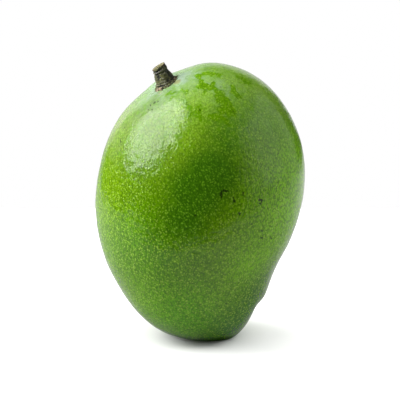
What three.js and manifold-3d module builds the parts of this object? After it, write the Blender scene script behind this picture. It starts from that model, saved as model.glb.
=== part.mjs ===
// A green mango with the cut stub of its stalk, standing on the small flat spot at its blossom end.
// Millimetres, +Z up. The origin is on the flat spot, straight below the fruit's centre. A viewer at -Y who
// looks along +Y sees the broad side of the fruit, with the stalk at the upper left and the beak at the
// lower right.
import * as THREE from 'three';
import { mergeVertices } from 'three/addons/utils/BufferGeometryUtils.js';
import Module from 'manifold-3d';

const wasm = await Module();
wasm.setup();

// The fruit. Two upright sections through its centre give its shape, as distances from the centre to the
// skin every 22.5 degrees: the broad outline, clockwise from straight up as the viewer sees it, and the
// narrow section across the cheeks, from straight up to straight down, alike front and back.
const FRUIT_CENTRE = new THREE.Vector3(0, 0, 59.5);
const OUTLINE_RADII = [
  59.6, 58.9, 53.9, 48.1, 43.9, 42.1, 45.1, 56.3, 61.3, 57.6, 50.9, 46.5, 44.8, 45.7, 49.7, 54.3,
];
const CHEEK_RADII = [59.6, 55.2, 47.2, 40.6, 37.8, 39.4, 45.4, 57.0, 61.3];
const FRUIT_DETAIL = 17;

// Low swellings (height above zero) and hollows (below zero) of the skin: a place on or near it, how high
// or deep, how far they spread in the outline's plane, and how far across it, from front to back.
const SWELLINGS = {
  stem_cavity: { at: [-15.5, 0, 114], height: -2.6, spread: 13, across: 13 },
  stem_mound: { at: [-16, 5, 111.5], height: 2.2, spread: 8, across: 8 },
  chin: { at: [13.2, 0, 2], height: 2.8, spread: 9, across: 16 },
  sinus: { at: [24.2, 0, 15], height: -2.4, spread: 4.8, across: 11 },
  beak: { at: [27, 0, 16], height: 1.1, spread: 4, across: 8 },
  front_cheek: { at: [2, -38, 66], height: 0.9, spread: 27, across: 27 },
  back_cheek: { at: [-2, 38, 52], height: 0.8, spread: 29, across: 29 },
};

// The stalk. It leaves the skin at STALK_FOOT and leans a little more upright than the skin does.
const STALK_FOOT = new THREE.Vector3(-14.2, -5.6, 111.3);
const STALK_LEAN_LEFT = THREE.MathUtils.degToRad(22.5);
const STALK_LEAN_FORWARD = THREE.MathUtils.degToRad(5);
const STALK_LENGTH = 8.3;
const STALK_ROOT_DEPTH = 3.6;
const STALK_FOOT_RADIUS = 4.4;
const STALK_WAIST_RADIUS = 3.75;
const STALK_TOP_RADIUS = 2.8;
const STALK_ROOT_RADIUS = 2.4;
const STALK_SIDES = 36;

// The corky collar lies flat on the skin around the stalk's foot.
const COLLAR_RADIUS = 6.2;
const COLLAR_HEIGHT = 1.3;
const COLLAR_DEPTH = 2.5;
const COLLAR_WAVE = 0.35;
const COLLAR_SIDES = 48;

// Grown pieces are modelled as solids that just clear each other.
const CLEARANCE = 0.3;

// Control values of a closed cubic B-spline that passes through the given values.
function splineControls(values) {
  const count = values.length;
  let controls = [...values];
  for (let pass = 0; pass < 60; pass += 1) {
    controls = controls.map((control, i) => {
      const neighbours = controls[(i + count - 1) % count] + controls[(i + 1) % count];
      return (6 * values[i] - neighbours) / 4;
    });
  }
  return controls;
}

const OUTLINE_CONTROLS = splineControls(OUTLINE_RADII);
const CHEEK_CONTROLS = splineControls([...CHEEK_RADII, ...CHEEK_RADII.slice(1, -1).reverse()]);

// A closed section's radius at an angle clockwise from straight up.
function sectionRadius(controls, angle) {
  const count = controls.length;
  const turn = angle / (2 * Math.PI);
  const place = (turn - Math.floor(turn)) * count;
  const first = Math.floor(place);
  const t = place - first;
  const [a, b, c, d] = [-1, 0, 1, 2].map((step) => controls[(first + step + count) % count]);
  const blend = (1 - t) ** 3 * a
    + (3 * t ** 3 - 6 * t ** 2 + 4) * b
    + (-3 * t ** 3 + 3 * t ** 2 + 3 * t + 1) * c
    + t ** 3 * d;
  return blend / 6;
}

// Height that the swellings add in a direction from the fruit's centre.
function swell(direction) {
  let height = 0;
  for (const { at, height: peak, spread, across } of Object.values(SWELLINGS)) {
    const reach = new THREE.Vector3(...at).sub(FRUIT_CENTRE);
    const offset = direction.clone().multiplyScalar(reach.length()).sub(reach);
    const inPlane = (offset.x ** 2 + offset.z ** 2) / spread ** 2;
    height += peak * Math.exp(-inPlane - (offset.y / across) ** 2);
  }
  return height;
}

// Distance from the fruit's centre to the skin in a direction: the outline's right and left halves and the
// cheeks, blended around the vertical axis.
function skinRadius(direction) {
  const polar = Math.acos(THREE.MathUtils.clamp(direction.z, -1, 1));
  const across = Math.hypot(direction.x, direction.y);
  const side = across > 0 ? direction.x / across : 0;
  const right = sectionRadius(OUTLINE_CONTROLS, polar);
  const left = sectionRadius(OUTLINE_CONTROLS, -polar);
  const cheek = sectionRadius(CHEEK_CONTROLS, polar);
  const broad = ((right + left) / 2) * side ** 2 + ((right - left) / 2) * side;
  return broad + cheek * (1 - side ** 2) + swell(direction);
}

function skinPoint(direction) {
  return direction.clone().multiplyScalar(skinRadius(direction)).add(FRUIT_CENTRE);
}

// Outward direction of the skin where a ray from the fruit's centre through a place meets it.
function skinNormal(place) {
  const step = 0.02;
  const along = place.clone().sub(FRUIT_CENTRE).normalize();
  const sideways = new THREE.Vector3(0, 1, 0).cross(along).normalize();
  const upward = along.clone().cross(sideways);
  const slope = (tangent) => {
    const ahead = skinPoint(along.clone().addScaledVector(tangent, step).normalize());
    const behind = skinPoint(along.clone().addScaledVector(tangent, -step).normalize());
    return ahead.sub(behind);
  };
  const normal = slope(sideways).cross(slope(upward)).normalize();
  return normal.dot(along) > 0 ? normal : normal.negate();
}

// A manifold-3d solid from a closed three.js geometry, and back.
function toSolid(geometry) {
  const bare = geometry.clone();
  bare.deleteAttribute('normal');
  bare.deleteAttribute('uv');
  const merged = mergeVertices(bare, 1e-4);
  return new wasm.Manifold(new wasm.Mesh({
    numProp: 3,
    vertProperties: new Float32Array(merged.attributes.position.array),
    triVerts: new Uint32Array(merged.index.array),
  }));
}

function toGeometry(solid) {
  const mesh = solid.getMesh();
  const geometry = new THREE.BufferGeometry();
  geometry.setAttribute('position', new THREE.BufferAttribute(new Float32Array(mesh.vertProperties), 3));
  geometry.setIndex(new THREE.BufferAttribute(new Uint32Array(mesh.triVerts), 1));
  geometry.computeVertexNormals();
  return geometry;
}

// Stands a piece that was turned around +Z on its foot, with +Z leaning along an axis.
function stand(geometry, foot, axis) {
  const turn = new THREE.Quaternion().setFromUnitVectors(new THREE.Vector3(0, 0, 1), axis);
  return geometry.applyQuaternion(turn).translate(foot.x, foot.y, foot.z);
}

// A turned solid around +Z from a profile of [radius, height] points that rises from axis to axis.
function turned(profile, sides) {
  const points = profile.map(([radius, height]) => new THREE.Vector2(radius, height));
  return new THREE.LatheGeometry(points, sides).rotateX(Math.PI / 2);
}

// The fruit before it is cut: a fine ball of even triangles, each corner moved out to the skin.
function wholeFruit(growth) {
  const geometry = new THREE.IcosahedronGeometry(1, FRUIT_DETAIL);
  const corners = geometry.attributes.position;
  const direction = new THREE.Vector3();
  for (let i = 0; i < corners.count; i += 1) {
    direction.fromBufferAttribute(corners, i).normalize();
    const skin = skinPoint(direction).addScaledVector(direction, growth);
    corners.setXYZ(i, skin.x, skin.y, skin.z);
  }
  return toSolid(geometry);
}

// Everything below the surface that the fruit stands on.
function groundBlock() {
  const size = 200;
  return toSolid(new THREE.BoxGeometry(size, size, size).translate(0, 0, -size / 2));
}

const STALK_AXIS = new THREE.Vector3(
  -Math.tan(STALK_LEAN_LEFT),
  -Math.tan(STALK_LEAN_FORWARD),
  1,
).normalize();

// The stalk from its blunt root to its square cut, with the flare at its foot and the girdle below the cut.
function stalk(growth) {
  const girdle = STALK_LENGTH - 1.9;
  const profile = [
    [0, -STALK_ROOT_DEPTH - growth],
    [STALK_ROOT_RADIUS + growth, -STALK_ROOT_DEPTH - growth],
    [STALK_ROOT_RADIUS + 0.6 + growth, -1.4],
    [STALK_FOOT_RADIUS + growth, 0.2],
    [STALK_FOOT_RADIUS - 0.1 + growth, 0.8],
    [STALK_WAIST_RADIUS + 0.1 + growth, 1.8],
    [STALK_WAIST_RADIUS + growth, 3.2],
    [STALK_WAIST_RADIUS - 0.3 + growth, girdle - 0.9],
    [STALK_TOP_RADIUS + 0.1 + growth, girdle],
    [STALK_TOP_RADIUS + 0.3 + growth, girdle + 0.5],
    [STALK_TOP_RADIUS + 0.2 + growth, girdle + 1.1],
    [STALK_TOP_RADIUS + growth, STALK_LENGTH + growth],
    [0, STALK_LENGTH + growth],
  ];
  return toSolid(stand(turned(profile, STALK_SIDES), STALK_FOOT, STALK_AXIS));
}

// The collar's blank: a low domed disc with an uneven rim, sunk into the skin before it is trimmed to it.
function collarBlank() {
  const profile = [
    [0, -COLLAR_DEPTH],
    [COLLAR_RADIUS, -COLLAR_DEPTH],
    [COLLAR_RADIUS, 0],
    [COLLAR_RADIUS - 0.25, 0.55 * COLLAR_HEIGHT],
    [COLLAR_RADIUS - 0.9, 0.9 * COLLAR_HEIGHT],
    [COLLAR_RADIUS - 1.8, COLLAR_HEIGHT],
    [0, COLLAR_HEIGHT],
  ];
  const geometry = turned(profile, COLLAR_SIDES);
  const corners = geometry.attributes.position;
  for (let i = 0; i < corners.count; i += 1) {
    const [x, y] = [corners.getX(i), corners.getY(i)];
    const angle = Math.atan2(y, x);
    const wave = COLLAR_WAVE * (Math.cos(3 * angle + 1) + 0.6 * Math.cos(5 * angle - 2));
    const stretch = 1 + wave / COLLAR_RADIUS;
    corners.setXY(i, x * stretch, y * stretch);
  }
  return toSolid(stand(geometry, STALK_FOOT, skinNormal(STALK_FOOT)));
}

function fruit() {
  return wholeFruit(0).subtract(groundBlock()).subtract(stalk(CLEARANCE));
}

function stemCollar() {
  return collarBlank().subtract(wholeFruit(CLEARANCE)).subtract(stalk(CLEARANCE));
}

function piece(name, solid, color, roughness) {
  const material = new THREE.MeshStandardMaterial({ color, roughness, metalness: 0 });
  const mesh = new THREE.Mesh(toGeometry(solid), material);
  mesh.name = name;
  return mesh;
}

const mango = new THREE.Group();
mango.name = 'mango';
mango.add(
  piece('fruit', fruit(), 0x5c8f2c, 0.38),
  piece('stem', stalk(0), 0x4c4a2a, 0.85),
  piece('stem_collar', stemCollar(), 0x7a6a52, 0.9),
);

export default mango;
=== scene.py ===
import math

import bpy
import numpy as np
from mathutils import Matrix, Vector


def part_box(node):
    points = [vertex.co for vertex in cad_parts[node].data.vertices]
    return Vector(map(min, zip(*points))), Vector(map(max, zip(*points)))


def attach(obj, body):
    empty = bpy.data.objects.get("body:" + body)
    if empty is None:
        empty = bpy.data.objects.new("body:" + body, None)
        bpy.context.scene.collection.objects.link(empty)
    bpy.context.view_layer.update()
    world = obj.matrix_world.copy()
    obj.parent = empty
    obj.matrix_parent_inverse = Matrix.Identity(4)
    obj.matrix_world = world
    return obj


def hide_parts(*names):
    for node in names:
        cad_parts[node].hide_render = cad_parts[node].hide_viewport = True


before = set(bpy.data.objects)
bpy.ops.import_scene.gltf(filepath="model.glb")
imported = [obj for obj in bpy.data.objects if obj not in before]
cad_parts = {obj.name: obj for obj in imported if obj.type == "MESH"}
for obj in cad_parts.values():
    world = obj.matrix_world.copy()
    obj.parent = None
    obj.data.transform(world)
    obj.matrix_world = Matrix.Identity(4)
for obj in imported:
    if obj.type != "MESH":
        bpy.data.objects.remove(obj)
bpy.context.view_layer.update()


# --------------------------------------------------------------------------------------------------
# The skin: the smooth, leathery rind of an unripe mango, grown in one piece. It is fullest below the
# stalk, draws in under the beak at the lower right, and is a little flat where the fruit stands. Its
# form is worked out in millimetres from two upright sections, as the solid model's is.
MM = 0.001
TINY = 1e-9
SKIN_QUADS = 128
SPLINE_PASSES = 60
FRUIT_CENTRE = np.array([0.0, 0.0, 59.5])
STALK_FOOT = np.array([-14.2, -5.6, 111.3])
BEAK_SCAR = np.array([24.0, -4.0, 15.0])
# Radii at even angles: from the crown down the right edge, from the foot up the left edge, and from the
# crown down the middle of the cheek to the foot.
RIGHT_RADII = [59.6, 58.9, 53.9, 48.1, 43.9, 42.1, 45.1, 56.3]
LEFT_RADII = [61.3, 57.6, 50.9, 46.5, 44.8, 45.7, 49.7, 54.3]
CHEEK_RADII = [59.6, 55.2, 47.2, 40.6, 37.8, 39.4, 45.4, 57.0, 61.3]
# Each low swelling or hollow: its middle, its height, and its spread in the outline's plane and across it.
SWELLINGS = [
    ((-15.5, 0, 114), -2.6, 13, 13),
    ((-16, 5, 111.5), 2.2, 8, 8),
    ((13.2, 0, 2), 2.8, 9, 16),
    ((24.2, 0, 15), -2.4, 4.8, 11),
    ((27, 0, 16), 1.1, 4, 8),
    ((2, -38, 66), 0.9, 27, 27),
    ((-2, 38, 52), 0.8, 29, 29),
]


def spline_controls(radii):
    """Control values of the closed cubic spline that passes through these radii, found pass by pass."""
    radii = np.array(radii, float)
    controls = radii
    for _ in range(SPLINE_PASSES):
        controls = (6 * radii - np.roll(controls, 1) - np.roll(controls, -1)) / 4
    return controls


OUTLINE = spline_controls(RIGHT_RADII + LEFT_RADII)
CHEEK = spline_controls(CHEEK_RADII + CHEEK_RADII[-2:0:-1])


def section_radius(controls, angle):
    """A closed section's radius at an angle clockwise from straight up."""
    place = angle / (2 * np.pi) % 1 * len(controls)
    first = np.floor(place).astype(int)
    t = place - first
    a, b, c, d = (controls[(first + step) % len(controls)] for step in (-1, 0, 1, 2))
    blend = (1 - t) ** 3 * a + (3 * t**3 - 6 * t**2 + 4) * b + (-3 * t**3 + 3 * t**2 + 3 * t + 1) * c
    return (blend + t**3 * d) / 6


def on_skin(directions):
    """Where rays from the fruit's centre in these directions meet the plain skin, in millimetres."""
    directions = directions / np.linalg.norm(directions, axis=-1, keepdims=True)
    polar = np.arccos(np.clip(directions[..., 2], -1, 1))
    across = np.hypot(directions[..., 0], directions[..., 1])
    side = directions[..., 0] / np.maximum(across, TINY)
    right, left = section_radius(OUTLINE, polar), section_radius(OUTLINE, -polar)
    radius = (right + left) / 2 * side**2 + (right - left) / 2 * side
    radius += section_radius(CHEEK, polar) * (1 - side**2)
    for at, height, spread, breadth in SWELLINGS:
        reach = np.array(at) - FRUIT_CENTRE
        off = directions * np.linalg.norm(reach) - reach
        in_plane = (off[..., 0] ** 2 + off[..., 2] ** 2) / spread**2
        radius += height * np.exp(-in_plane - (off[..., 1] / breadth) ** 2)
    return FRUIT_CENTRE + directions * radius[..., None]


def skin_normals(places):
    """Outward directions of the plain skin at these places on it."""
    along = places - FRUIT_CENTRE
    along = along / np.linalg.norm(along, axis=-1, keepdims=True)
    sideways = np.cross([0.3, 1.0, 0.1], along)
    sideways /= np.linalg.norm(sideways, axis=-1, keepdims=True)
    upward = np.cross(along, sideways)
    step = 0.01
    normals = np.cross(
        on_skin(along + step * sideways) - on_skin(along - step * sideways),
        on_skin(along + step * upward) - on_skin(along - step * upward),
    )
    return normals / np.linalg.norm(normals, axis=-1, keepdims=True)


def ripples(places, wavelength, seed, waves=48):
    """Smooth random unevenness of about this wavelength, mostly between -1 and 1, the same each run."""
    random = np.random.default_rng(seed)
    travel = random.normal(size=(waves, 3))
    travel /= np.linalg.norm(travel, axis=1, keepdims=True)
    travel *= 2 * np.pi / (wavelength * random.uniform(0.75, 1.4, (waves, 1)))
    crests = np.sin(places @ travel.T + random.uniform(0, 2 * np.pi, waves))
    return crests.sum(1) / np.sqrt(waves)


def box_grid(quads):
    """A ball made from a box's six faces, each a square grid: its directions, its quads, and a flat map
    in which the six squares lie side by side, three to a row."""
    lines = np.tan(np.linspace(-1, 1, quads + 1) * np.pi / 4)
    u, v = (grid.ravel() for grid in np.meshgrid(lines, lines, indexing="ij"))
    one = np.ones_like(u)
    sides = [(one, u, v), (-one, -u, v), (-u, one, v), (u, -one, v), (-v, u, one), (v, u, -one)]
    directions = np.concatenate([np.stack(side, 1) for side in sides])
    directions /= np.linalg.norm(directions, axis=1, keepdims=True)

    row, column = (grid.ravel() for grid in np.meshgrid(range(quads), range(quads), indexing="ij"))
    corner = row * (quads + 1) + column
    square = np.stack([corner, corner + quads + 1, corner + quads + 2, corner + 1], 1)
    faces = np.concatenate([square + side * len(u) for side in range(6)])

    flat = np.stack([(np.arctan(line) * 4 / np.pi + 1) / 2 for line in (u, v)], 1)
    gap = 0.004
    rooms = [np.array([side % 3, side // 3]) + gap + flat * (1 - 2 * gap) for side in range(6)]
    flat_map = (np.concatenate(rooms) / (3, 2))[faces]
    _, first, twin = np.unique(directions.round(6), axis=0, return_index=True, return_inverse=True)
    return directions[first], twin.ravel()[faces], flat_map


def seated(places, node, plain):
    """Places in metres, moved and stretched with a plain form so that its box is the solid node's box."""
    low, high = (np.array(corner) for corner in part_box(node))
    return low + (places - plain.min(0)) * (high - low) / (plain.max(0) - plain.min(0))


def make_piece(name, places, faces, finish, flat_map=None, **marks):
    """A smooth mesh piece from places in metres, with its finish, its flat map, and any named values
    that its corners carry."""
    mesh = bpy.data.meshes.new(name)
    mesh.from_pydata(places.tolist(), [], faces.tolist())
    mesh.polygons.foreach_set("use_smooth", [True] * len(mesh.polygons))
    for mark, values in marks.items():
        carried = mesh.attributes.new(mark, "FLOAT", "POINT")
        carried.data.foreach_set("value", values.astype(np.float32))
    if flat_map is not None:
        layer = mesh.uv_layers.new(name="OFBake")
        layer.uv.foreach_set("vector", flat_map.reshape(-1).astype(np.float32))
    mesh.materials.append(finish)
    mesh.validate()
    made = bpy.data.objects.new(name, mesh)
    bpy.context.scene.collection.objects.link(made)
    return made


class Wire:
    """A value or colour that varies over a finish, as a node's output. Sums on values add Math nodes."""

    def __init__(self, finish, socket):
        self.finish, self.socket = finish, socket

    def sum(self, operation, first, second):
        return self.finish.node("ShaderNodeMath", {"operation": operation}, {0: first, 1: second})

    def __add__(self, other):
        return self.sum("ADD", self, other)

    def __sub__(self, other):
        return self.sum("SUBTRACT", self, other)

    def __rsub__(self, other):
        return self.sum("SUBTRACT", other, self)

    def __mul__(self, other):
        return self.sum("MULTIPLY", self, other)

    def at_least(self, other):
        return self.sum("MAXIMUM", self, other)

    __radd__, __rmul__ = __add__, __mul__


class Finish:
    """A material as it is mixed. node() adds a node from its type, settings and sockets' values."""

    def __init__(self, name):
        self.material = bpy.data.materials.new(name)
        self.material.use_nodes = True
        self.tree = self.material.node_tree
        self.shader = self.tree.nodes["Principled BSDF"]
        metres = self.node("ShaderNodeTexCoord", output="Object")
        in_millimetres = {0: metres, "Scale": 1 / MM}
        self.place = self.node("ShaderNodeVectorMath", {"operation": "SCALE"}, in_millimetres)

    def node(self, kind, settings=None, sockets=None, output=0):
        made = self.tree.nodes.new(kind)
        for name, value in (settings or {}).items():
            setattr(made, name, value)
        self.wire(made, sockets or {})
        return Wire(self, made.outputs[output])

    def wire(self, node, sockets):
        for name, value in sockets.items():
            if isinstance(value, Wire):
                self.tree.links.new(value.socket, node.inputs[name])
            else:
                node.inputs[name].default_value = value

    def mix(self, mask, under, over):
        """The colour under, covered by the colour over where the mask is 1. A Mix node's mask is its
        socket 0, its colours are 6 and 7, and the mixed colour comes out at 2."""
        sockets = {0: mask, 6: self.opaque(under), 7: self.opaque(over)}
        return self.node("ShaderNodeMix", {"data_type": "RGBA"}, sockets, output=2)

    @staticmethod
    def opaque(colour):
        return colour if isinstance(colour, Wire) else (*colour, 1)

    def between(self, value, low, high):
        """0 up to low, 1 from high, and smooth between. low may be above high."""
        sockets = {"Value": value, "From Min": low, "From Max": high}
        return self.node("ShaderNodeMapRange", {"interpolation_type": "SMOOTHSTEP"}, sockets)

    def mark(self, name):
        """A value given at the mesh's corners."""
        return self.node("ShaderNodeAttribute", {"attribute_name": name}, output="Fac")

    def cloud(self, size, detail=2.0, place=None, roughness=0.5):
        """Soft noise between 0 and 1 whose lumps are about this many millimetres."""
        sockets = {
            "Vector": place or self.place,
            "Scale": 1 / size,
            "Detail": detail,
            "Roughness": roughness,
        }
        return self.node("ShaderNodeTexNoise", {}, sockets)

    def dots(self, spacing, radius, softness=0.35, place=None):
        """1 on scattered dots of up to this radius, in millimetres, and 0 between them."""
        sockets = {"Vector": place or self.place, "Scale": 1 / spacing, "Randomness": 0.9}
        distance = self.node("ShaderNodeTexVoronoi", {"feature": "F1"}, sockets, output="Distance")
        return self.between(distance, radius / spacing, radius * (1 - softness) / spacing)

    def near(self, centre, radius):
        """1 at a place in millimetres, falling smoothly to 0 at this distance from it."""
        apart = {0: self.place, 1: centre}
        distance = self.node("ShaderNodeVectorMath", {"operation": "DISTANCE"}, apart, output="Value")
        return self.between(distance, radius, 0)

    def complete(self, colour, roughness, height, **constants):
        """Connects the finish to its shader. height is in millimetres."""
        bump = self.node("ShaderNodeBump", {}, {"Height": height, "Distance": MM, "Strength": 1.0})
        self.wire(self.shader, {"Base Color": colour, "Roughness": roughness, "Normal": bump})
        for name, value in constants.items():
            self.shader.inputs[name.replace("_", " ")].default_value = value
        return self.material


# The skin's greens, then its dots, pores, bloom and marks.
MID_GREEN = (0.140, 0.315, 0.001)
LOWER_GREEN = (0.118, 0.400, 0.001)
WARM_GREEN = (0.180, 0.345, 0.004)
PALE_GREEN = (0.220, 0.550, 0.001)
TOP_GREEN = (0.250, 0.450, 0.014)
SHOULDER_GREEN = (0.215, 0.305, 0.020)
SHADE_GREEN = (0.100, 0.170, 0.010)
COOL_GREEN = (0.095, 0.272, 0.001)
CROWN_GREEN = (0.072, 0.225, 0.001)
DEEP_GREEN = (0.052, 0.175, 0.001)
# Dark green painted on as shade low on the fruit, near where it stands.
PAINTED_FOOT_SHADE = (0.030, 0.160, 0.001)
LENTICEL = (0.400, 0.640, 0.055)
DEEP_LENTICEL = (0.210, 0.490, 0.020)
PORE_GREEN = (0.022, 0.085, 0.0005)
BLOOM = (0.270, 0.380, 0.280)
RUBBED_GREEN = (0.120, 0.295, 0.0005)
SCAR = (0.012, 0.028, 0.0005)
CORK = (0.330, 0.210, 0.110)
STAIN = (0.240, 0.230, 0.075)
SPECK = (0.020, 0.070, 0.001)
MOTTLE_GREEN = (0.110, 0.290, 0.0005)
# Dark green painted on as shade in the hollow under the beak.
PAINTED_BEAK_SHADE = (0.045, 0.165, 0.001)
# Where the left shoulder is duller, with fainter dots and deeper relief: the middle and the reach.
DULL_SHOULDER = ((-25, -26, 93), 32)
# How the green changes over the skin: each zone's middle, its reach, its strength there, and its green.
GREEN_ZONES = [
    ((-20, -32, 48), 36, 1.0, COOL_GREEN),
    ((-6, -26, 16), 30, 1.0, LOWER_GREEN),
    ((-42, -16, 78), 34, 1.0, WARM_GREEN),
    # The paler green over the right cheek is partly the skin's own colour and partly painted light,
    # standing in for fill from the right.
    ((36, -22, 64), 38, 1.0, PALE_GREEN),
    ((44, -10, 78), 30, 0.7, PALE_GREEN),
    ((22, -30, 38), 22, 0.8, PALE_GREEN),
    ((-4, -24, 104), 36, 1.0, TOP_GREEN),
    ((24, -6, 113), 28, 0.8, TOP_GREEN),
    ((-34, -9, 95), 22, 1.0, SHOULDER_GREEN),
    (*DULL_SHOULDER, 0.48, SHADE_GREEN),
    ((-19, -18, 105), 15, 0.6, SHADE_GREEN),
    ((11, -31, 97), 18, 0.8, CROWN_GREEN),
    ((24, -21, 102), 17, 0.45, CROWN_GREEN),
]
# The patch of deep green on the front cheek: the middle, reach and strength of each part of it.
DEEP_ZONES = [
    ((4.5, -37.5, 79), 22, 1.0),
    ((-1.5, -38.5, 72.5), 22, 1.0),
    ((-6, -38, 62), 19, 0.85),
    ((11, -35, 90), 13, 0.6),
    ((-18, -35, 57), 18, 0.35),
]


def skin_finish():
    """The skin: greens zone by zone, with painted light on the right cheek and painted shade under the
    beak and at the foot, bloom over them, pores and pale dots where no bloom covers them, then specks,
    scars, stain and cork. plain is 1 on the evenly dotted lower half."""
    finish = Finish("green_skin")
    broad = finish.cloud(16, 2)
    patchy = finish.cloud(4.5, 3)
    upright = {0: finish.place, 1: (1, 1, 0.55)}
    drawn_out = finish.node("ShaderNodeVectorMath", {"operation": "MULTIPLY"}, upright)
    grain = finish.cloud(1.15, 1, place=drawn_out)
    fine = finish.cloud(0.62, 0, place=drawn_out)
    ragged = finish.cloud(1.8, 3, roughness=0.6) - 0.5
    height = finish.node("ShaderNodeSeparateXYZ", {}, {0: finish.place}, output="Z")
    plain = finish.between(height + (patchy - 0.5) * 26, 106, 46)
    drift = {"Vector": finish.place, "Scale": 1.0, "Detail": 1.0}
    shift = finish.node("ShaderNodeTexNoise", {}, drift, output="Color")
    shifted = {0: shift, 1: (0.9, 0.9, 0.9), 2: finish.place}
    warped = finish.node("ShaderNodeVectorMath", {"operation": "MULTIPLY_ADD"}, shifted)
    lenticels = finish.dots(1.3, 0.50, 0.6, place=warped)
    small_dots = finish.dots(0.95, 0.36, 0.6, place=warped)

    dull = finish.near(*DULL_SHOULDER)
    deep = 0
    for middle, reach, strength in DEEP_ZONES:
        deep = (finish.near(middle, reach) * strength).at_least(deep)
    deep = finish.between(deep + (finish.cloud(7, 2) - 0.5) * 0.12, 0.10, 0.85)

    colour = MID_GREEN
    for middle, reach, strength, green in GREEN_ZONES:
        colour = finish.mix(finish.near(middle, reach) * strength, colour, green)
    colour = finish.mix(finish.between(broad, 0.45, 0.75) * 0.20, colour, PALE_GREEN)
    colour = finish.mix(deep, colour, DEEP_GREEN)
    # Painted shade in the hollow under the beak.
    colour = finish.mix(finish.near((24, -17, 23), 23) * 0.9, colour, PAINTED_BEAK_SHADE)
    # Painted shade: the skin darkens towards the foot and in a thin rim along the bottom, where the fruit
    # meets the table.
    colour = finish.mix(finish.near((15, -18, 5), 26), colour, PAINTED_FOOT_SHADE)
    colour = finish.mix(finish.between(height, 7, 1), colour, PAINTED_FOOT_SHADE)

    bloom = finish.mark("bloom") * (finish.between(patchy + grain * 0.3, 0.45, 0.85) * 0.5 + 0.75)
    colour = finish.mix(bloom, colour, BLOOM)
    wiped = finish.mark("rubbed") + ragged * 2.6 + (patchy - 0.5) * 1.2
    rubbed = finish.between(wiped, -0.8, 0.4)
    colour = finish.mix(rubbed, colour, RUBBED_GREEN)
    bare = 1 - bloom * (1 - rubbed)

    colour = finish.mix(finish.between(grain, 0.42, 0.7) * bare * 0.10, colour, PORE_GREEN)
    pored = plain * 0.08 + finish.near((32, -22, 76), 36) * 0.2 + 0.42
    colour = finish.mix(finish.between(fine, 0.4, 0.62) * pored * bare * bare, colour, PORE_GREEN)
    mottle = finish.between(finish.cloud(2.4, 3), 0.45, 0.7) * (1 - plain) * (1 - deep) * bare
    colour = finish.mix(mottle * 0.75, colour, MOTTLE_GREEN)
    dot_colour = finish.mix(deep, LENTICEL, DEEP_LENTICEL)
    small_shown = (plain * 0.16 + deep * 0.02 + 0.34) * bare * (1 - dull * 0.7)
    colour = finish.mix(small_dots * small_shown, colour, dot_colour)
    large_shown = (plain * 0.22 + deep * 0.06 + 0.36) * bare * (1 - dull * 0.6)
    colour = finish.mix(lenticels * large_shown, colour, dot_colour)

    speckle = finish.dots(8, 0.36, 0.5) + finish.dots(17, 0.6, 0.4)
    colour = finish.mix(speckle * 0.7, colour, SPECK)
    dried = finish.mark("scar") + ragged * 0.6 + (fine - 0.5) * 0.4
    scars = finish.between(dried, 0.0, 0.3)
    colour = finish.mix(scars * 0.85, colour, SCAR)
    stain = finish.between(finish.mark("stain") + ragged * 0.6, 0.15, 0.75)
    colour = finish.mix(stain * 0.75, colour, STAIN)
    corky = finish.between(finish.mark("cork") + (fine - 0.5) * 0.5, 0.25, 0.7)
    colour = finish.mix(corky * 0.8, colour, CORK)

    roughness = 0.14 + bloom * 0.20 + scars * 0.05 + (corky + stain) * 0.3 + (fine - 0.5) * 0.1
    peel = (finish.cloud(2.4, 0) - 0.5) * 0.09
    relief = peel + (grain - 0.5) * 0.10 - (fine - 0.5) * 0.04
    relief = relief + lenticels * 0.03 + small_dots * 0.012
    relief = relief * (plain * 0.45 + 0.75 + dull * 0.4) - scars * 0.02
    return finish.complete(colour, roughness, relief, IOR=1.46)


# Marks on the front cheek, each from one (x, z) to another in millimetres, and its half-width: small
# scars, and streaks where the waxy bloom has been rubbed off.
FRONT_SCARS = [
    ((8.5, 72.6), (8.6, 70.4), 0.55),
    ((9.4, 73.2), (12.6, 72.6), 0.75),
    ((13.3, 70.4), (14.0, 68.6), 0.6),
    ((17.4, 72.1), (17.7, 70.4), 0.55),
    ((23.8, 68.3), (25.4, 68.1), 0.65),
    ((25.0, 67.9), (24.8, 66.8), 0.55),
    ((23.9, 66.8), (24.7, 66.5), 0.5),
    ((-1.8, 63.0), (-1.6, 62.6), 0.6),
    ((30.8, 72.2), (31.0, 72.0), 0.4),
    ((32.0, 86.0), (32.2, 85.8), 0.5),
    ((34.8, 80.3), (34.9, 80.1), 0.5),
    ((15.8, 63.6), (16.0, 63.2), 0.5),
    ((23.2, 61.5), (23.4, 61.2), 0.5),
    ((25.3, 54.8), (25.5, 54.4), 0.6),
    ((25.3, 51.4), (25.6, 51.2), 0.6),
    ((29.0, 51.2), (29.8, 50.0), 0.5),
    ((31.6, 62.2), (33.2, 60.6), 0.35),
    ((-34.2, 91.0), (-32.8, 89.2), 0.45),
    ((-31.4, 94.7), (-31.2, 94.5), 0.5),
    ((-28.7, 99.4), (-28.5, 99.2), 0.45),
    ((-0.4, 104.6), (-0.2, 104.2), 0.6),
    ((13.3, 103.8), (13.5, 103.6), 0.5),
    ((8.6, 112.4), (8.8, 112.2), 0.5),
    ((-17.3, 106.1), (-17.1, 105.9), 0.5),
    ((-18.9, 105.5), (-18.5, 105.3), 0.5),
    ((-20.3, 104.5), (-20.0, 104.1), 0.55),
    ((-19.8, 103.2), (-19.6, 102.9), 0.5),
    ((-21.5, 102.7), (-21.2, 102.5), 0.5),
]
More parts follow.
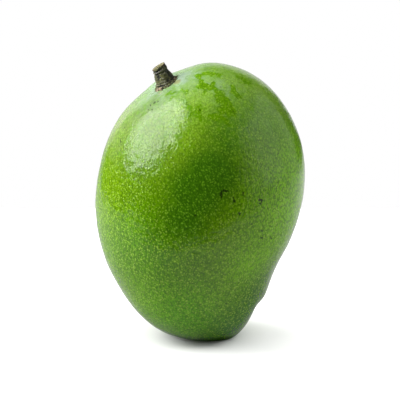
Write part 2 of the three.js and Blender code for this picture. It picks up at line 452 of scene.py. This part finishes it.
FRONT_RUBBED = [
    ((0.4, 116.4), (8.4, 115.8), 1.7),
    ((0.2, 115.4), (0.8, 112.4), 1.5),
    ((1.0, 112.0), (4.6, 111.8), 1.4),
    ((5.0, 112.4), (8.8, 109.2), 1.6),
    ((9.0, 108.6), (12.8, 104.6), 2.6),
    ((10.6, 106.0), (12.0, 104.0), 3.0),
    ((12.6, 111.4), (14.8, 109.6), 1.9),
    ((16.0, 115.0), (19.4, 113.2), 1.7),
    ((-1.6, 104.6), (0.2, 101.2), 1.6),
    ((5.2, 102.6), (9.6, 100.6), 1.8),
    ((-13.2, 108.6), (-10.6, 110.2), 0.8),
    ((-12.0, 107.2), (-9.4, 108.8), 0.6),
    ((-8.2, 110.8), (-5.8, 110.0), 1.0),
    ((-5.8, 108.0), (-3.6, 102.4), 0.9),
]
# Shallow creases that run down from the stalk: start, end, depth and half-width in millimetres.
CREASES = [
    ((-15.8, -14, 108.5), (-12.6, -32, 92), 0.42, 1.7),
    ((-7, -12, 112), (3, -24, 108), 0.25, 1.8),
    ((-22, -6, 107), (-36, -6, 93), 0.20, 2.0),
]
# Where the grey-blue bloom lies: its middle, its strength and its spread.
BLOOM_PATCHES = [
    (STALK_FOOT, 0.75, 15),
    ((-5, -11, 114.5), 0.30, 6),
    ((8, -18, 112), 0.13, 12),
    ((5.3, -16.8, 114), 0.16, 4),
    ((10.2, -20.4, 110.9), 0.16, 4),
    ((-37, -8, 97), 0.08, 14),
    ((24, -14, 106), 0.10, 22),
]


def front_of_skin(x, z):
    """The place on the front cheek with this x and z."""
    reach = np.linspace(5, 60, 400)
    column = np.stack([np.full_like(reach, x), -reach, np.full_like(reach, z)], 1)
    inside = np.linalg.norm(column - FRUIT_CENTRE, axis=1)
    depth = inside - np.linalg.norm(on_skin(column - FRUIT_CENTRE) - FRUIT_CENTRE, axis=1)
    return column[np.argmin(np.abs(depth))]


def groove(places, start, end, width):
    """1 along the line from start to end, falling off sideways over this width and towards its ends."""
    line = np.array(end, float) - start
    along = (places - start) @ line / (line @ line)
    off = np.linalg.norm(places - start - np.clip(along, 0, 1)[:, None] * line, axis=1)
    ends = np.clip(1 - (2 * along - 1) ** 2, 0, 1) ** 0.5
    return np.exp(-((off / width) ** 2)) * ends


directions, skin_faces, skin_map = box_grid(SKIN_QUADS)
plain_skin = on_skin(directions)
from_foot = plain_skin - STALK_FOOT
foot_distance = np.linalg.norm(from_foot, axis=1)
foot_angle = np.arctan2(from_foot[:, 0], -from_foot[:, 1])

relief = 0.16 * ripples(plain_skin, 26, 1) + 0.035 * ripples(plain_skin, 8, 2)
relief += 0.02 * ripples(plain_skin, 3.0, 3)
folds = np.cos(7 * foot_angle + 0.6 * np.sin(3 * foot_angle)) ** 3 + 0.5 * np.cos(4 * foot_angle - 1)
relief += 0.22 * folds * np.exp(-(((foot_distance - 8) / 5) ** 2))
for start, end, depth, width in CREASES:
    relief -= depth * groove(plain_skin, start, end, width)
beak_off = plain_skin - BEAK_SCAR
off_crease = (beak_off @ (0.45, 0, 0.9) / 1.1) ** 2 + (beak_off[:, 1] / 6) ** 2
relief -= 0.5 * np.exp(-off_crease - (np.linalg.norm(beak_off, axis=1) / 7) ** 2)


def streaks(places, marks, waver):
    """How far inside a mark on the front cheek each place is, in millimetres, with wavering edges."""
    wobble = [ripples(places, 6, seed) + 0.5 * ripples(places, 2.4, seed + 3) for seed in (31, 32, 33)]
    places = places + np.stack(wobble, 1) * waver
    strength = np.full(len(places), -3.0)
    for start, end, width in marks:
        first, last = front_of_skin(*start), front_of_skin(*end)
        line = last - first
        along = np.clip((places - first) @ line / (line @ line), 0, 1)
        away = np.linalg.norm(places - first - along[:, None] * line, axis=1)
        strength = np.maximum(strength, width - away)
    return strength


def spot(middle, spread):
    """1 at a place on the skin, falling off around it over this many millimetres."""
    return np.exp(-((np.linalg.norm(plain_skin - middle, axis=1) / spread) ** 2))


def above_table(places):
    """Places drawn in towards the fruit's middle where they would be below the table."""
    drop = np.maximum(FRUIT_CENTRE[2] - places[:, 2], TINY)
    share = np.minimum(FRUIT_CENTRE[2] / drop, 1)[:, None]
    return FRUIT_CENTRE + (places - FRUIT_CENTRE) * share


scar_mark = streaks(plain_skin, FRONT_SCARS, 0.25)
relief -= 0.1 * np.clip(scar_mark, 0, 1)
skin_places = plain_skin + directions * relief[:, None]
skin = make_piece(
    "mango_skin",
    seated(above_table(skin_places), "fruit", above_table(plain_skin)),
    skin_faces,
    skin_finish(),
    skin_map,
    scar=scar_mark,
    bloom=sum(strength * spot(middle, spread) for middle, strength, spread in BLOOM_PATCHES),
    rubbed=streaks(plain_skin, FRONT_RUBBED, 0.9),
    cork=spot(BEAK_SCAR, 2.2),
    stain=spot((-9.4, -10.6, 113.1), 2.0) + 0.6 * spot((-16.4, -11.8, 109.0), 1.3),
)
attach(skin, "root")
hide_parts("fruit")


# --------------------------------------------------------------------------------------------------
# The stalk stub: the dried, woody end that was left when the fruit was cut from the tree. It flares at
# its foot, where it grew out of the skin, and cracked bark rings it just below the square cut.
STALK_LEAN_LEFT = math.radians(22.5)
STALK_LEAN_FORWARD = math.radians(5)
STALK_SIDES = 180
STALK_RINGS = 160
CUT_RINGS = 26
ROOT_RINGS = 6
CUT_SLANT = 0.17
# Heights above the stalk's foot, in millimetres.
STALK_LENGTH = 8.3
CUT_EDGE = 8.1
UPPER_CRACK = 7.25
GIRDLE = 6.55
LOWER_CRACK = 5.75
BARK_TOP = 5.6
# Height above the foot and radius there, in millimetres, from the root in the flesh to the cut.
STALK_PROFILE = [
    (-3.6, 2.4),
    (-1.4, 3.0),
    (0.2, 4.5),
    (1.0, 4.3),
    (2.0, 3.85),
    (3.6, 3.65),
    (5.0, 3.35),
    (BARK_TOP, 3.15),
    (6.1, 3.15),
    (6.6, 3.25),
    (7.5, 3.1),
    (STALK_LENGTH, 2.85),
]
BARK_OLIVE = (0.120, 0.125, 0.035)
BARK_DARK = (0.014, 0.015, 0.007)
BARK_GREY = (0.190, 0.180, 0.150)
CRACK_BLACK = (0.003, 0.003, 0.004)
CUT_WOOD = (0.250, 0.225, 0.105)
CUT_PITH = (0.075, 0.070, 0.014)
CUT_RIM = (0.090, 0.028, 0.014)


def bark_finish():
    """The stalk: olive and grey bark over dark, with black cracks, painted shade in its hollows and on its
    right side, and the paler wood of the cut.
    """
    finish = Finish("stalk_bark")
    grain = finish.cloud(0.7, 4, roughness=0.65)
    lumps = finish.cloud(2.0, 2)
    crest = finish.mark("crest")
    # Painted shade: the bark is darker in the hollows between its crests and in the grooves of the folds
    # at its foot.
    colour = finish.mix(finish.between(lumps + crest * 0.35, 0.35, 0.62), BARK_DARK, BARK_OLIVE)
    weathered = finish.between(grain + crest * 0.2, 0.5, 0.72) * 0.55
    colour = finish.mix(weathered, colour, BARK_GREY)
    # Painted shade: the stalk's right side is darkened, and the root inside the skin fully.
    colour = finish.mix(finish.mark("shade"), colour, BARK_DARK)
    colour = finish.mix(finish.mark("girdle") * 0.7, colour, BARK_GREY)
    colour = finish.mix(finish.mark("crack"), colour, CRACK_BLACK)
    face = finish.mix(finish.between(grain, 0.42, 0.58), CUT_PITH, CUT_WOOD)
    face = finish.mix(finish.mark("pith") * finish.between(lumps, 0.6, 0.35), face, CUT_PITH)
    colour = finish.mix(finish.mark("cut"), colour, face)
    colour = finish.mix(finish.mark("rim") * 0.8, colour, CUT_RIM)
    roughness = 0.60 + (grain - 0.5) * 0.4
    relief = (grain - 0.5) * 0.22 + (lumps - 0.5) * 0.1
    return finish.complete(colour, roughness, relief, IOR=1.45)


def lean(direction):
    """A turn that lays +Z along a direction."""
    turn = Vector((0, 0, 1)).rotation_difference(Vector(direction))
    return np.array(turn.to_matrix())


def stalk_radius(height):
    """The plain stalk's radius at a height above its foot, with its corners eased."""
    nearby = np.linspace(-0.22, 0.22, 5)
    return np.mean([np.interp(height + step, profile_heights, profile_radii) for step in nearby], axis=0)


def towards(angle, middle, width):
    """1 on the side of the stalk at the middle angle, in degrees, falling smoothly to 0 over the width."""
    away = np.abs((np.degrees(angle) - middle + 180) % 360 - 180)
    share = np.clip(1 - away / width, 0, 1)
    return share**2 * (3 - 2 * share)


stalk_turn = lean((-math.tan(STALK_LEAN_LEFT), -math.tan(STALK_LEAN_FORWARD), 1))
profile_heights, profile_radii = np.array(STALK_PROFILE).T
turn_angle = np.linspace(0, 2 * np.pi, STALK_SIDES, endpoint=False)
ring_heights = np.linspace(profile_heights[0], STALK_LENGTH, STALK_RINGS)
bark_angle, bark_height = (grid.ravel() for grid in np.meshgrid(turn_angle, ring_heights))
plain_radius = stalk_radius(bark_height)
around = np.stack([np.cos(bark_angle), np.sin(bark_angle)], 1)
plain_stalk = np.column_stack([around * plain_radius[:, None], bark_height])

flutes = 0.16 * np.cos(9 * bark_angle + 0.35 * bark_height)
flutes += 0.10 * np.cos(5 * bark_angle - 0.3 * bark_height + 1)
knobs = 0.16 * ripples(plain_stalk * (1, 1, 0.45), 2.1, 11) + 0.07 * ripples(plain_stalk, 0.9, 12)
below_girdle = np.clip((BARK_TOP - bark_height) / 0.8, 0, 1) * np.clip((bark_height + 1) / 1.5, 0, 1)
unevenness = (flutes + knobs) * (0.35 + 0.65 * below_girdle)
upper_line = UPPER_CRACK + 0.18 * np.sin(bark_angle + 0.6) + 0.10 * np.sin(4 * bark_angle)
upper_crack = np.exp(-(((bark_height - upper_line) / 0.46) ** 4))
upper_crack *= 0.25 + 0.75 * towards(bark_angle, 235, 110)
lower_line = LOWER_CRACK + 0.16 * np.sin(bark_angle - 0.5) + 0.08 * np.sin(3 * bark_angle + 1)
lower_crack = np.exp(-(((bark_height - lower_line) / 0.25) ** 4))
lower_crack *= 0.2 + 0.8 * towards(bark_angle, 215, 100)
crack = np.clip(upper_crack + lower_crack, 0, 1)
girdle = np.exp(-(((bark_height - GIRDLE) / 0.3) ** 2)) * towards(bark_angle, 235, 100)
foot_folds = np.cos(2 * np.pi * (bark_height + 0.35 * np.sin(bark_angle + 0.4)) / 0.95)
foot_folds *= np.exp(-(((bark_height - 0.9) / 1.15) ** 2))
foot_folds *= 0.35 + 0.65 * towards(bark_angle, 300, 110)
bark_relief = unevenness - 0.45 * crack + 0.20 * foot_folds
bark_relief *= bark_height < STALK_LENGTH - 0.01
bark = np.column_stack([around * (plain_radius + bark_relief)[:, None], bark_height])
bark[:, 2] += CUT_SLANT * bark[:, 0] * np.clip((bark_height - 5) / 3.3, 0, 1)

# The cut face closes in rings from the bark's last ring, a little dished, with the pith raised. The root
# closes in the same way from the bark's first ring, and is flat.
rim = bark[-STALK_SIDES:]
cut_shares = 1 - np.arange(1, CUT_RINGS + 1) / CUT_RINGS
cut_places = []
for share in cut_shares:
    ring = rim * (share, share, 1)
    ring[:, 2] = STALK_LENGTH + CUT_SLANT * ring[:, 0]
    ring[:, 2] -= 0.30 * (1 - share**4) - 0.14 * np.exp(-((share / 0.3) ** 2))
    ring[:, 2] += 0.09 * ripples(ring, 1.1, 13) * (1 - share**6)
    cut_places.append(ring)
cut_share = np.repeat(cut_shares, STALK_SIDES)
root_shares = np.arange(ROOT_RINGS) / ROOT_RINGS
root_places = [bark[:STALK_SIDES] * (share, share, 1) for share in root_shares]
stalk_rows = np.concatenate([*root_places, bark, *cut_places])


def ring_faces(rings, sides, closed=False):
    """Quads between each ring of corners and the next, and from the last to the first if closed."""
    rows = rings if closed else rings - 1
    row, column = (grid.ravel() for grid in np.meshgrid(range(rows), range(sides), indexing="ij"))
    after = (column + 1) % sides
    ring, next_ring = row * sides, (row + 1) % rings * sides
    return np.stack([ring + column, ring + after, next_ring + after, next_ring + column], 1)


def on_stalk(bark_values, on_root=0.0, on_cut=0.0):
    """Values for the bark's corners, with others for the root before them and the cut after them."""
    root_values = np.full(ROOT_RINGS * STALK_SIDES, float(on_root))
    return np.concatenate([root_values, bark_values, np.zeros(len(cut_share)) + on_cut])


rim_spot = towards(bark_angle, 200, 40) + towards(bark_angle, 345, 60)
rim_spot *= np.exp(-(((bark_height - CUT_EDGE) / 0.35) ** 2))
# High on the bark's ridges and folds and low in the hollows, where the finish paints shade.
crest = np.clip(unevenness / 0.3, -1, 1) * below_girdle + foot_folds
stalk = make_piece(
    "stalk_stub",
    seated(stalk_rows @ stalk_turn.T + STALK_FOOT, "stem", plain_stalk @ stalk_turn.T + STALK_FOOT),
    ring_faces(len(stalk_rows) // STALK_SIDES, STALK_SIDES),
    bark_finish(),
    crack=on_stalk(crack),
    girdle=on_stalk(girdle),
    crest=on_stalk(crest),
    rim=on_stalk(rim_spot),
    cut=on_stalk(np.clip((bark_height - CUT_EDGE) / 0.15, 0, 1), 0, 1),
    pith=on_stalk(0 * bark_height, 0, np.exp(-((cut_share / 0.62) ** 4))),
    # Painted shade on the stalk's right side, full on the root.
    shade=on_stalk(0.65 * towards(bark_angle, 345, 95), 1),
)
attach(stalk, "root")
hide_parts("stem")


# --------------------------------------------------------------------------------------------------
# The cork collar: the thin, scabby ring of cork that the skin grows around the foot of the stalk. It
# lies on the skin with a ragged outer rim, and is thickest below the stalk at the left.
COLLAR_SIDES = 220
# The collar's section, out from the stalk: distance from its middle, and height above the skin.
COLLAR_SECTION = [
    (2.8, 0.2),
    (3.6, 0.5),
    (4.2, 0.6),
    (4.6, 0.42),
    (4.95, 0.46),
    (5.2, 0.24),
    (5.4, -0.05),
    (5.3, -0.5),
    (4.4, -0.8),
    (3.2, -0.7),
    (2.8, -0.2),
]
CORK_TAN = (0.300, 0.225, 0.120)
CORK_DARK = (0.030, 0.020, 0.010)
CORK_PINK = (0.360, 0.280, 0.195)
CORK_OLIVE = (0.120, 0.130, 0.040)


def cork_finish():
    """The collar: dark, olive scabs, and tan to pink cork where it is bare."""
    finish = Finish("cork")
    grain = finish.cloud(0.55, 4, roughness=0.7)
    lumps = finish.cloud(1.4, 2)
    colour = finish.mix(finish.between(lumps, 0.35, 0.6), CORK_DARK, CORK_OLIVE)
    bare = finish.between(finish.mark("bare") + (lumps - 0.5) * 1.2, 0.35, 0.65)
    cork = finish.mix(finish.between(grain, 0.4, 0.6), CORK_TAN, CORK_PINK)
    colour = finish.mix(bare, colour, cork)
    colour = finish.mix(finish.between(grain, 0.52, 0.62) * 0.8, colour, CORK_DARK)
    roughness = 0.7 + (grain - 0.5) * 0.3
    return finish.complete(colour, roughness, (grain - 0.5) * 0.3, IOR=1.45)


foot_normal = skin_normals(STALK_FOOT[None])[0]
corners = np.array(COLLAR_SECTION)
next_corners = np.roll(corners, -1, 0)
thirds = [corners + (next_corners - corners) * share for share in (0, 1 / 3, 2 / 3)]
section = np.stack(thirds, 1).reshape(-1, 2)
collar_angle = np.tile(np.linspace(0, 2 * np.pi, COLLAR_SIDES, endpoint=False), len(section))
ring_radius, ring_height = (np.repeat(column, COLLAR_SIDES) for column in section.T)
level = np.column_stack([np.cos(collar_angle), np.sin(collar_angle), 0 * ring_radius])
level *= ring_radius[:, None]
outer = np.clip((ring_radius - 3.8) / 1.2, 0, 1)
ragged_rim = 1 + outer * (0.07 * ripples(level, 2.6, 21) + 0.05 * ripples(level, 1.1, 24))
scabs = (0.20 * ripples(level, 1.5, 22) + 0.10 * ripples(level, 0.7, 23)) * (ring_height > 0)
collar_places = (level * ragged_rim[:, None]) @ lean(foot_normal).T + STALK_FOOT
lift = ring_height * (0.75 + 0.6 * towards(collar_angle, 225, 60)) + scabs
collar = make_piece(
    "cork_collar",
    (on_skin(collar_places - FRUIT_CENTRE) + lift[:, None] * foot_normal) * MM,
    ring_faces(len(section), COLLAR_SIDES, closed=True),
    cork_finish(),
    bare=0.75 * towards(collar_angle, 228, 50) + 0.6 * towards(collar_angle, 350, 40),
)
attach(collar, "root")
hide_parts("stem_collar")


# --------------------------------------------------------------------------------------------------
# The studio: a white table and surround, one large soft light at the left, faint cards at the right and
# behind, and a dim glow behind the left side. The table the camera sees only shows the shadow; a greyer
# one, hidden from it, throws the table's light back up and is what the skin reflects.
TARGET = Vector((0, 0, 0.060))
MATT = 0.9


def sheet_of(name, corner, along, across, grey):
    """A flat, matt sheet of the set from a corner and its two sides, in one faintly mottled grey."""
    corner, along, across = np.array(corner), np.array(along), np.array(across)
    corners = np.array([corner, corner + along, corner + along + across, corner + across])
    finish = Finish(name)
    paint = finish.mix(finish.cloud(40, 2), (grey,) * 3, (0.97 * grey,) * 3)
    made = make_piece(name, corners, np.array([(0, 1, 2, 3)]), finish.complete(paint, MATT, 0.0))
    return made


table = sheet_of("table", (-0.22, -0.22, 0), (0.44, 0, 0), (0, 0.44, 0), 0.82)
table.visible_diffuse = False
table.visible_glossy = False
table.visible_shadow = False
bounce = sheet_of("table_bounce", (-0.34, -0.13, -0.0004), (1.24, 0, 0), (0, 0.83, 0), 0.43)
bounce.visible_camera = False
# A small black flag over the crown keeps the large light's reflection off the top of the fruit. Only
# reflections see it.
flag = sheet_of("flag", (-0.012, -0.055, 0.1225), (0, 0.12, 0), (-0.03, 0, 0.12), 0.002)
flag.visible_camera = False
flag.visible_diffuse = False
fruit = (skin, stalk, collar)


def soft_light(
    name, azimuth, elevation, distance, width, height, radiance, shape="RECTANGLE", only=fruit, flags=()
):
    """A soft box aimed at the fruit. Azimuth is from the camera's side, to the right. It lights only
    the pieces that are named, and only the fruit, the lower table and the flags shade them from it."""
    turn, rise = math.radians(azimuth), math.radians(elevation)
    level_share = math.cos(rise)
    away = Vector((math.sin(turn) * level_share, -math.cos(turn) * level_share, math.sin(rise)))
    filled = math.pi / 4 if shape == "DISK" else 1
    lamp = bpy.data.lights.new(name, "AREA")
    lamp.shape = shape
    lamp.size = width
    lamp.size_y = height
    lamp.energy = radiance * math.pi * width * height * filled
    made = bpy.data.objects.new(name, lamp)
    made.location = TARGET + away * distance
    made.rotation_euler = away.to_track_quat("Z", "Y").to_euler()
    made.visible_camera = False
    bpy.context.scene.collection.objects.link(made)
    lit = bpy.data.collections.new(name + "_lights")
    for receiver in only:
        lit.objects.link(receiver)
    shading = bpy.data.collections.new(name + "_shading")
    for blocker in (*fruit, bounce, *flags):
        shading.objects.link(blocker)
    made.light_linking.receiver_collection = lit
    made.light_linking.blocker_collection = shading
    return made


# The large light is in two: the key lights the skin and the lower table, and the key's shine is only
# what the skin reflects. The glow is only reflected too, and the ceiling and the fill only light.
key = soft_light("key", -80.5, 37, 0.70, 0.80, 0.80, 7.2, "DISK", (*fruit, bounce))
key_shine = soft_light("key_shine", -75, 39, 0.70, 0.76, 0.76, 6.6, "DISK", flags=(flag,))
key_glow = soft_light("key_glow", -127, 27, 0.75, 0.72, 0.62, 0.65)
soft_light("card", 92, 20, 0.60, 0.80, 0.62, 0.60)
soft_light("card_edge", 66.5, 15, 0.62, 0.56, 0.74, 0.33)
soft_light("backdrop", 186, 12, 0.75, 0.85, 0.60, 0.85)
ceiling = soft_light("ceiling", 150, 68, 0.75, 1.10, 0.70, 0.90, only=(*fruit, bounce))
fill = soft_light("fill", 68, 3, 0.60, 0.60, 0.60, 0.80)
for light in (key, ceiling, fill):
    light.visible_glossy = False
for light in (key_shine, key_glow):
    light.visible_diffuse = False
# Three lights keep the table white and shape the shadow on it. The last one is on the lower table.
soft_light("over_table", 180, 86, 0.90, 1.60, 1.60, 3.0, only=(table,))
soft_light("left_of_table", -105, 22, 0.90, 0.80, 0.80, 11.0, only=(table,))
soft_light("right_of_table", 100, 20, 0.90, 0.80, 0.80, 4.8, only=(table,))
soft_light("behind_table", 130, 30, 0.50, 0.30, 0.30, 10.0, only=(bounce,))

# The surround is white to the camera and nearly dark to everything else.
world = bpy.data.worlds.new("white_surround")
world.use_nodes = True
bpy.context.scene.world = world
surround = world.node_tree
backing = surround.nodes["Background"]
rays = surround.nodes.new("ShaderNodeLightPath")
tone = surround.nodes.new("ShaderNodeMapRange")
tone.inputs["To Min"].default_value = 0.03
tone.inputs["To Max"].default_value = 1.0
surround.links.new(rays.outputs["Is Camera Ray"], tone.inputs["Value"])
surround.links.new(tone.outputs[0], backing.inputs["Strength"])
backing.inputs["Color"].default_value = (1, 1, 1, 1)

# The camera stands in front, a little above the fruit, with a long lens.
CAMERA_DISTANCE = 0.621
CAMERA_RISE = math.radians(14)
lens = bpy.data.cameras.new("camera")
lens.lens = 130
lens.sensor_width = 36
camera = bpy.data.objects.new("camera", lens)
aim = Vector((0, -math.cos(CAMERA_RISE), math.sin(CAMERA_RISE)))
camera.location = TARGET + aim * CAMERA_DISTANCE
camera.rotation_euler = aim.to_track_quat("Z", "Y").to_euler()
bpy.context.scene.collection.objects.link(camera)
bpy.context.scene.camera = camera
bpy.context.scene.view_settings.view_transform = "Standard"
